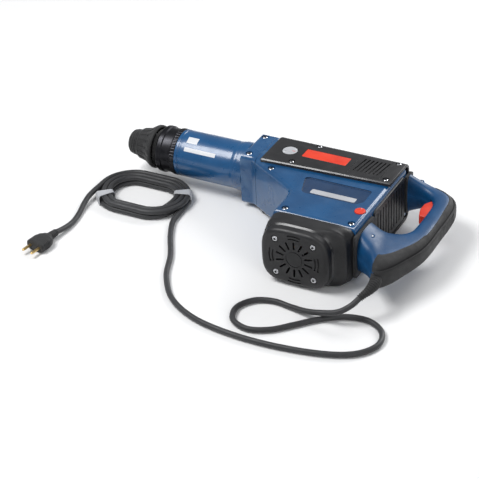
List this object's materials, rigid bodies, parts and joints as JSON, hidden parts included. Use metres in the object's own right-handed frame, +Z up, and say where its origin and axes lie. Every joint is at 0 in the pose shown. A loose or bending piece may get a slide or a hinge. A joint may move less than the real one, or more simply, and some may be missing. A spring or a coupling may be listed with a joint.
{
  "type": "rotary hammer",
  "caption": "Heavy corded rotary hammer with a D-handle, a crosswise motor, a keyless chuck and its crank-driven striking mechanism inside.",
  "frame": {"origin": "middle of the footprint, on the floor that the tool lies on", "axes": "+X from the chuck towards the D-handle along the hammer's axis, +Y from the motor towards the top cover, +Z up, out of the tool's left side"},
  "size_m": [0.6443, 0.4375, 0.108],
  "materials": {
    "blue_enamel": "satin",
    "blue_plastic": "satin",
    "black_plastic": "matte",
    "black_rubber": "matte",
    "blackened_steel": "satin",
    "ground_steel": "satin",
    "spring_steel": "satin",
    "zinc_steel": "satin",
    "bearing_steel": "polished",
    "cast_aluminium": "cast",
    "core_laminations": "matte",
    "copper": "satin",
    "brass": "satin",
    "graphite": "matte",
    "light_grey_plastic": "satin",
    "red_plastic": "satin",
    "cord_rubber": "matte"
  },
  "bodies": {
    "housing": {"front_collar": "blackened_steel", "front_seal": "black_rubber", "barrel_tube": "blue_enamel", "front_bearing": "bearing_steel", "gear_housing": "blue_enamel", "top_cover": "black_plastic", "motor_housing": "black_plastic", "motor_end_cover": "black_plastic", "end_cover_screw_1": "zinc_steel", "end_cover_screw_2": "zinc_steel", "end_cover_screw_3": "zinc_steel", "end_cover_screw_4": "zinc_steel", "bearing_plate": "cast_aluminium", "crank_bearing_upper": "bearing_steel", "crank_bearing_lower": "bearing_steel", "armature_bearing_upper": "bearing_steel", "armature_bearing_lower": "bearing_steel", "stator": "core_laminations", "brush_holder_left": "brass", "brush_holder_right": "brass", "carbon_brush_left": "graphite", "carbon_brush_right": "graphite", "handle_left": "blue_plastic", "handle_right": "blue_plastic", "grip_pad": "black_rubber", "switch_box": "black_plastic", "handle_gasket_upper": "black_rubber", "handle_gasket_lower": "black_rubber", "strain_relief": "black_rubber", "cord_lead": "cord_rubber", "cord_coil": "cord_rubber", "cord_tail": "cord_rubber", "plug": "black_rubber"},
    "spindle": {"tool_holder": "ground_steel", "spindle_tube": "ground_steel", "dust_cap": "black_rubber", "locking_bar_left": "ground_steel", "locking_bar_right": "ground_steel", "chuck_spring": "spring_steel", "hammer_cylinder": "ground_steel", "spindle_gear": "ground_steel"},
    "sleeve": {"locking_sleeve": "black_rubber"},
    "impact_bolt": {"impact_bolt": "ground_steel"},
    "striker": {"striker": "ground_steel"},
    "piston": {"piston": "ground_steel", "piston_pin": "ground_steel"},
    "connecting_rod": {"connecting_rod": "ground_steel"},
    "crank": {"crankshaft": "ground_steel", "crank_gear": "ground_steel"},
    "layshaft": {"layshaft": "ground_steel", "layshaft_gear": "ground_steel", "bevel_pinion": "ground_steel", "safety_clutch": "bearing_steel"},
    "armature": {"armature_shaft": "ground_steel", "armature_core": "core_laminations", "commutator": "copper", "fan": "black_plastic"},
    "trigger": {"trigger": "red_plastic"},
    "mode_selector": {"mode_selector": "light_grey_plastic"},
    "speed_dial": {"speed_dial": "red_plastic"}
  },
  "joints": [
    {"name": "armature_spin", "type": "hinge", "parent": "housing", "child": "armature", "pos_m": [0.12, 0, 0.054], "axis": [0, 1, 0], "continuous": true},
    {"name": "crank_spin", "type": "hinge", "parent": "housing", "child": "crank", "pos_m": [0.072, 0, 0.054], "axis": [0, 1, 0], "continuous": true},
    {"name": "layshaft_spin", "type": "hinge", "parent": "housing", "child": "layshaft", "pos_m": [0.017, 0, 0.054], "axis": [0, 1, 0], "continuous": true},
    {"name": "tool_holder_spin", "type": "hinge", "parent": "housing", "child": "spindle", "pos_m": [0, 0.092, 0.054], "axis": [1, 0, 0], "continuous": true},
    {"name": "locking_sleeve_slide", "type": "slide", "parent": "spindle", "child": "sleeve", "axis": [1, 0, 0], "range_m": [0, 0.008], "stiffness_N_per_m": 1500, "springref_m": -0.004},
    {"name": "impact_bolt_slide", "type": "slide", "parent": "spindle", "child": "impact_bolt", "axis": [1, 0, 0], "range_m": [-0.01, 0.006]},
    {"name": "striker_slide", "type": "slide", "parent": "spindle", "child": "striker", "axis": [1, 0, 0], "range_m": [-0.014, 0.012]},
    {"name": "piston_slide", "type": "slide", "parent": "housing", "child": "piston", "axis": [1, 0, 0], "range_m": [-0.026, 0]},
    {"name": "connecting_rod_swing", "type": "hinge", "parent": "piston", "child": "connecting_rod", "pos_m": [0.023, 0.092, 0.054], "axis": [0, 1, 0], "range_deg": [-12, 12]},
    {"name": "trigger_press", "type": "hinge", "parent": "housing", "child": "trigger", "pos_m": [0.27, 0.092, 0.054], "axis": [0, 0, 1], "range_deg": [0, 7], "stiffness_Nm_per_rad": 3, "springref_deg": -4.58},
    {"name": "mode_selector_turn", "type": "hinge", "parent": "housing", "child": "mode_selector", "pos_m": [0.006, 0.088, 0.108], "axis": [0, 0, 1], "range_deg": [-90, 90]},
    {"name": "speed_dial_turn", "type": "hinge", "parent": "housing", "child": "speed_dial", "pos_m": [0.188, -0.033, 0.102], "axis": [0, 0, 1], "range_deg": [-135, 135]}
  ],
  "couplings": [
    {"joint": "crank_spin", "follows": "armature_spin", "ratio": -0.1875},
    {"joint": "layshaft_spin", "follows": "armature_spin", "ratio": 0.5},
    {"joint": "tool_holder_spin", "follows": "armature_spin", "ratio": -0.18182}
  ]
}
